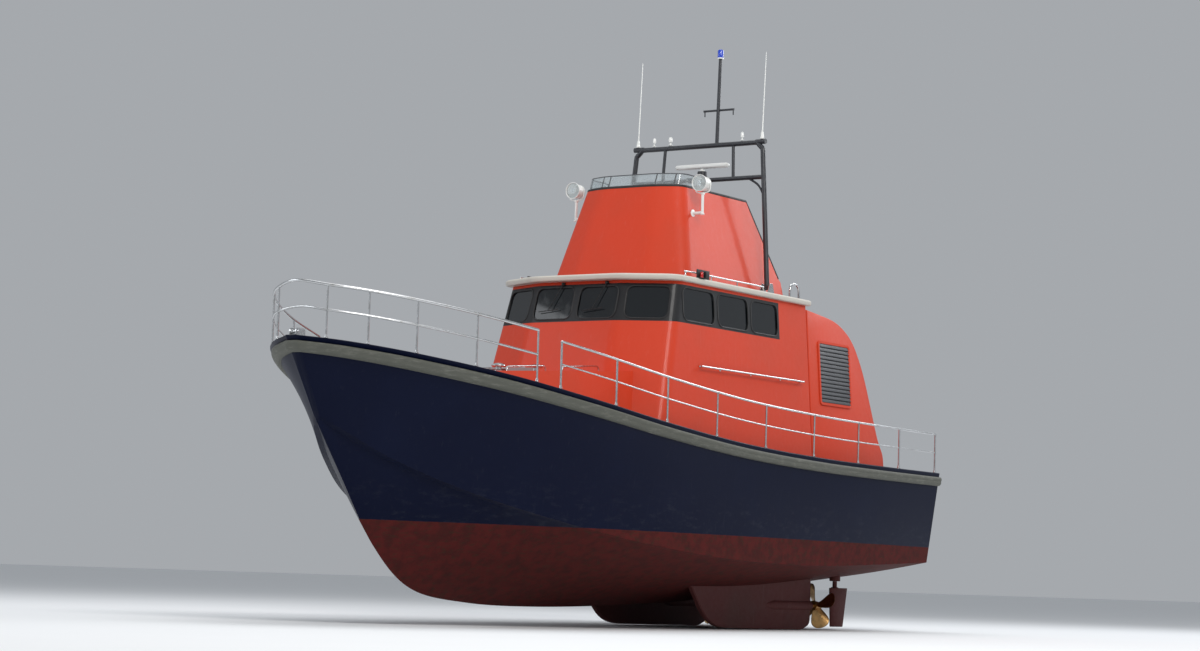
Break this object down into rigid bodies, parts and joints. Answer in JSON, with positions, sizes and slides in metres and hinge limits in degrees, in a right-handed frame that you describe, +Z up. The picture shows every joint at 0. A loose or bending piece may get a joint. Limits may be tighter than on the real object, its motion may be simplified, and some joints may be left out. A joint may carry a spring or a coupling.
{
  "type": "lifeboat",
  "caption": "All-weather rescue lifeboat: hard chine hull, glazed wheelhouse, open upper steering position and folding goalpost mast.",
  "frame": {"origin": "on the centreline at the waterline, a little abaft the middle of the length", "axes": "+X forward to the bow, +Y to port, +Z up"},
  "size_m": [14.21, 4.8784, 9.241],
  "materials": {
    "hull_paint": "deep navy gloss paint over composite, dark red antifouling below the waterline, grey non-slip decks",
    "belting_rubber": "matt grey rubber fender",
    "orange_paint": "red-orange gloss paint over composite, black gloss band round the windows",
    "window_glass": "dark tinted toughened glass",
    "screen_clear": "clear acrylic screen",
    "roof_grey": "pale grey edge and non-slip top",
    "console_dark": "charcoal moulded console and seat covers",
    "seat_cover": "black upholstery",
    "lid_grey": "mid grey paint with non-slip top",
    "engine_paint": "blue-grey engine enamel",
    "mast_paint": "charcoal paint",
    "white_paint": "white gelcoat and glass fibre",
    "blue_lens": "blue lens",
    "steel": "bright stainless steel",
    "galvanised": "galvanised steel",
    "bronze": "polished propeller bronze",
    "antifoul": "dark red antifouling paint"
  },
  "bodies": {
    "boat": {"hull": "hull_paint", "belting": "belting_rubber", "wheelhouse_front": "orange_paint", "wheelhouse_aft": "orange_paint", "wheelhouse_port": "orange_paint", "wheelhouse_starboard": "orange_paint", "glazing": "window_glass", "roof": "roof_grey", "coaming": "orange_paint", "windscreen": "screen_clear", "upper_console": "console_dark", "upper_seat_port": "seat_cover", "upper_seat_starboard": "seat_cover", "helm_platform": "console_dark", "seat_port": "seat_cover", "seat_starboard": "seat_cover", "coachroof": "orange_paint", "engine_casing": "orange_paint", "engine_port": "engine_paint", "engine_starboard": "engine_paint", "wing_port": "orange_paint", "wing_starboard": "orange_paint", "mast_foot_port": "steel", "mast_foot_starboard": "steel", "searchlight_port": "white_paint", "searchlight_starboard": "white_paint", "ladder": "steel", "guard_rail_port": "steel", "guard_rail_starboard": "steel", "pulpit": "steel", "anchor": "galvanised", "bow_roller": "steel", "windlass": "mast_paint", "bollard_fore_port": "steel", "bollard_fore_starboard": "steel", "towing_post": "steel"},
    "mast_group": {"mast": "mast_paint", "aerial_port": "white_paint", "aerial_starboard": "white_paint", "mast_head_light": "blue_lens"},
    "radar": {"radar_scanner": "white_paint"},
    "aft_door": {"door": "orange_paint"},
    "fore_lid": {"fore_hatch": "lid_grey"},
    "engine_lid": {"engine_hatch": "lid_grey"},
    "screw_port": {"propeller_port": "bronze"},
    "screw_starboard": {"propeller_starboard": "bronze"},
    "helm_port": {"rudder_port": "antifoul"},
    "helm_starboard": {"rudder_starboard": "antifoul"}
  },
  "joints": [
    {"name": "propeller_port_spin", "type": "hinge", "parent": "boat", "child": "screw_port", "pos_m": [-5.2, 0.985, -0.9], "axis": [1, 0, 0], "continuous": true},
    {"name": "propeller_starboard_spin", "type": "hinge", "parent": "boat", "child": "screw_starboard", "pos_m": [-5.2, -0.985, -0.9], "axis": [1, 0, 0], "continuous": true},
    {"name": "rudder_port_turn", "type": "hinge", "parent": "boat", "child": "helm_port", "pos_m": [-5.82, 0.985, -0.9], "axis": [0, 0, 1], "range_deg": [-35, 35]},
    {"name": "rudder_starboard_turn", "type": "hinge", "parent": "boat", "child": "helm_starboard", "pos_m": [-5.82, -0.985, -0.9], "axis": [0, 0, 1], "range_deg": [-35, 35]},
    {"name": "aft_door_swing", "type": "hinge", "parent": "boat", "child": "aft_door", "pos_m": [-3.7405, -1.464, 2.5], "axis": [0, 0, 1], "range_deg": [0, 90]},
    {"name": "fore_hatch_swing", "type": "hinge", "parent": "boat", "child": "fore_lid", "pos_m": [2.69, 0, 2.366], "axis": [0, 1, 0], "range_deg": [0, 100]},
    {"name": "engine_hatch_swing", "type": "hinge", "parent": "boat", "child": "engine_lid", "pos_m": [-5.43, 0, 2.014], "axis": [0, -1, 0], "range_deg": [0, 85]},
    {"name": "mast_fold", "type": "hinge", "parent": "boat", "child": "mast_group", "pos_m": [-2.7, 0, 4.06], "axis": [0, -1, 0], "range_deg": [0, 70]},
    {"name": "radar_spin", "type": "hinge", "parent": "mast_group", "child": "radar", "pos_m": [-2.9, 0, 6.05], "axis": [0, 0, 1], "continuous": true}
  ],
  "couplings": [
    {"joint": "rudder_starboard_turn", "follows": "rudder_port_turn", "ratio": 1}
  ]
}
